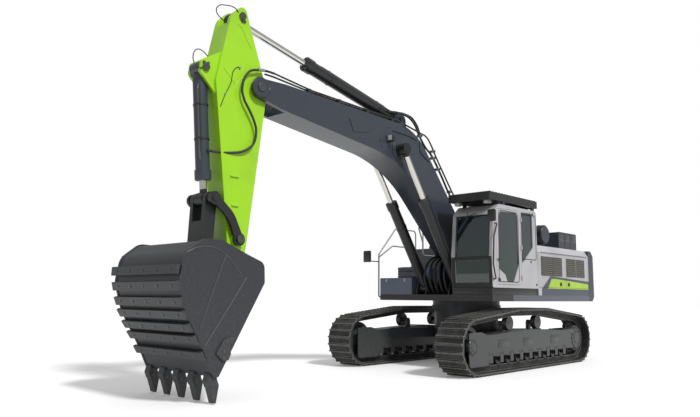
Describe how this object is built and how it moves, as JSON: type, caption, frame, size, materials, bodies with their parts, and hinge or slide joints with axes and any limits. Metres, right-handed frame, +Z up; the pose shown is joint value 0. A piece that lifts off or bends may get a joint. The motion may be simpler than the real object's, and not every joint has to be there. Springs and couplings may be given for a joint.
{
  "type": "crawler excavator",
  "caption": "Tracked excavator with a swinging house, boxed boom and arm, pinned bucket linkage, side cab with roof guard and a round counterweight.",
  "frame": {"origin": "ground point under the middle of the whole machine, on the centre plane", "axes": "+X forward along the boom, +Y to the machine's left, +Z up"},
  "size_m": [11.7282, 3.34, 5.9878],
  "materials": {
    "steel_black": "satin",
    "track_steel": "satin",
    "body_grey": "satin",
    "weight_grey": "satin",
    "tank_grey": "satin",
    "boom_grey": "satin",
    "arm_green": "satin",
    "bucket_grey": "satin",
    "cylinder_black": "satin",
    "rod_chrome": "satin",
    "glass": "satin",
    "seat_cloth": "satin"
  },
  "bodies": {
    "undercarriage": {"car_body": "steel_black", "swing_bearing_lower": "steel_black", "left_track_frame": "steel_black", "right_track_frame": "steel_black", "left_track": "track_steel", "right_track": "track_steel", "left_rollers": "steel_black", "right_rollers": "steel_black", "left_idler": "steel_black", "right_idler": "steel_black", "left_sprocket": "steel_black", "right_sprocket": "steel_black"},
    "house": {"swing_bearing_upper": "steel_black", "revolving_frame": "steel_black", "counterweight": "weight_grey", "engine_hood": "body_grey", "engine_block": "steel_black", "cooler_pack": "steel_black", "valve_cover": "steel_black", "fuel_tank": "tank_grey", "hydraulic_tank": "tank_grey", "step_box": "steel_black", "tool_box": "tank_grey", "air_cleaner": "steel_black", "exhaust_box": "steel_black", "handrails": "steel_black", "cab_shell": "body_grey", "cab_glass": "glass", "cab_guard": "steel_black", "operator_seat": "seat_cloth", "console": "steel_black"},
    "cab_door": {"cab_door": "body_grey", "door_glass": "glass"},
    "front_service_door": {"front_service_door": "body_grey"},
    "rear_service_door": {"rear_service_door": "body_grey"},
    "right_service_door": {"right_service_door": "body_grey"},
    "tool_box_lid": {"tool_box_lid": "tank_grey"},
    "boom": {"boom": "boom_grey", "boom_lines": "steel_black"},
    "boom_cylinder_barrels": {"boom_cylinder_barrels": "cylinder_black"},
    "boom_cylinder_rods": {"boom_cylinder_rods": "rod_chrome"},
    "arm": {"arm": "arm_green"},
    "arm_cylinder_barrel": {"arm_cylinder_barrel": "cylinder_black"},
    "arm_cylinder_rod": {"arm_cylinder_rod": "rod_chrome"},
    "bucket_cylinder_barrel": {"bucket_cylinder_barrel": "cylinder_black"},
    "bucket_cylinder_rod": {"bucket_cylinder_rod": "rod_chrome"},
    "guide_links": {"guide_links": "bucket_grey"},
    "connecting_link": {"connecting_link": "bucket_grey"},
    "bucket": {"bucket": "bucket_grey", "bucket_teeth": "bucket_grey"}
  },
  "joints": [
    {"name": "house_swing", "type": "hinge", "parent": "undercarriage", "child": "house", "pos_m": [-2.11033, 0, 1.3], "axis": [0, 0, 1], "continuous": true},
    {"name": "boom_lift", "type": "hinge", "parent": "house", "child": "boom", "pos_m": [-1.86033, 0, 2.25], "axis": [0, -1, 0], "range_deg": [-50, 38]},
    {"name": "boom_cylinder_tilt", "type": "hinge", "parent": "house", "child": "boom_cylinder_barrels", "pos_m": [-1.18033, 0, 1.645], "axis": [0, -1, 0], "range_deg": [-51.53, 39.64]},
    {"name": "boom_cylinder_stroke", "type": "slide", "parent": "boom_cylinder_barrels", "child": "boom_cylinder_rods", "axis": [0.5681, 0, 0.823], "range_m": [-0.7526, 0.5768]},
    {"name": "arm_swing", "type": "hinge", "parent": "boom", "child": "arm", "pos_m": [4.16967, 0, 4.74031], "axis": [0, 1, 0], "range_deg": [-76, 38]},
    {"name": "arm_cylinder_tilt", "type": "hinge", "parent": "boom", "child": "arm_cylinder_barrel", "pos_m": [0.43949, 0, 5.03041], "axis": [0, 1, 0], "range_deg": [-5.07, 3.53]},
    {"name": "arm_cylinder_stroke", "type": "slide", "parent": "arm_cylinder_barrel", "child": "arm_cylinder_rod", "axis": [0.9809, 0, 0.1945], "range_m": [-1.388, 0.704]},
    {"name": "bucket_curl", "type": "hinge", "parent": "arm", "child": "bucket", "pos_m": [4.51233, 0, 1.84955], "axis": [0, 1, 0], "range_deg": [0, 145]},
    {"name": "bucket_cylinder_tilt", "type": "hinge", "parent": "arm", "child": "bucket_cylinder_barrel", "pos_m": [5.1334, 0, 4.85052], "axis": [0, 1, 0], "range_deg": [-6.1, 2]},
    {"name": "bucket_cylinder_stroke", "type": "slide", "parent": "bucket_cylinder_barrel", "child": "bucket_cylinder_rod", "axis": [-0.0822, 0, -0.9966], "range_m": [-0.02, 1.188]},
    {"name": "guide_link_swing", "type": "hinge", "parent": "arm", "child": "guide_links", "pos_m": [4.50727, 0, 2.28297], "axis": [0, 1, 0], "range_deg": [-2, 105.69]},
    {"name": "connecting_link_swing", "type": "hinge", "parent": "guide_links", "child": "connecting_link", "pos_m": [4.96967, 0, 2.865], "axis": [0, 1, 0], "range_deg": [-33.05, 2]},
    {"name": "cab_door_swing", "type": "hinge", "parent": "house", "child": "cab_door", "pos_m": [-1.83233, 1.56, 2.475], "axis": [0, 0, 1], "range_deg": [0, 165]},
    {"name": "front_service_door_swing", "type": "hinge", "parent": "house", "child": "front_service_door", "pos_m": [-2.59633, 1.56, 2.04], "axis": [0, 0, 1], "range_deg": [-95, 0]},
    {"name": "rear_service_door_swing", "type": "hinge", "parent": "house", "child": "rear_service_door", "pos_m": [-5.10533, 1.56, 2.04], "axis": [0, 0, 1], "range_deg": [0, 95]},
    {"name": "right_service_door_swing", "type": "hinge", "parent": "house", "child": "right_service_door", "pos_m": [-5.10533, -1.56, 2.04], "axis": [0, 0, 1], "range_deg": [-95, 0]},
    {"name": "tool_box_lid_swing", "type": "hinge", "parent": "house", "child": "tool_box_lid", "pos_m": [-1.50033, -1.093, 1.88], "axis": [0, -1, 0], "range_deg": [0, 80]}
  ],
  "couplings": [
    {"joint": "boom_cylinder_tilt", "follows": "boom_lift", "ratio": 0.99053},
    {"joint": "boom_cylinder_stroke", "follows": "boom_lift", "m_per_rad": 0.83947},
    {"joint": "arm_cylinder_tilt", "follows": "arm_swing", "ratio": 0.040338},
    {"joint": "arm_cylinder_stroke", "follows": "arm_swing", "m_per_rad": 1.0313},
    {"joint": "bucket_cylinder_tilt", "follows": "bucket_curl", "ratio": -0.028249},
    {"joint": "bucket_cylinder_stroke", "follows": "bucket_curl", "m_per_rad": 0.46152},
    {"joint": "guide_link_swing", "follows": "bucket_curl", "ratio": 0.71508},
    {"joint": "connecting_link_swing", "follows": "bucket_curl", "ratio": -0.21414}
  ]
}
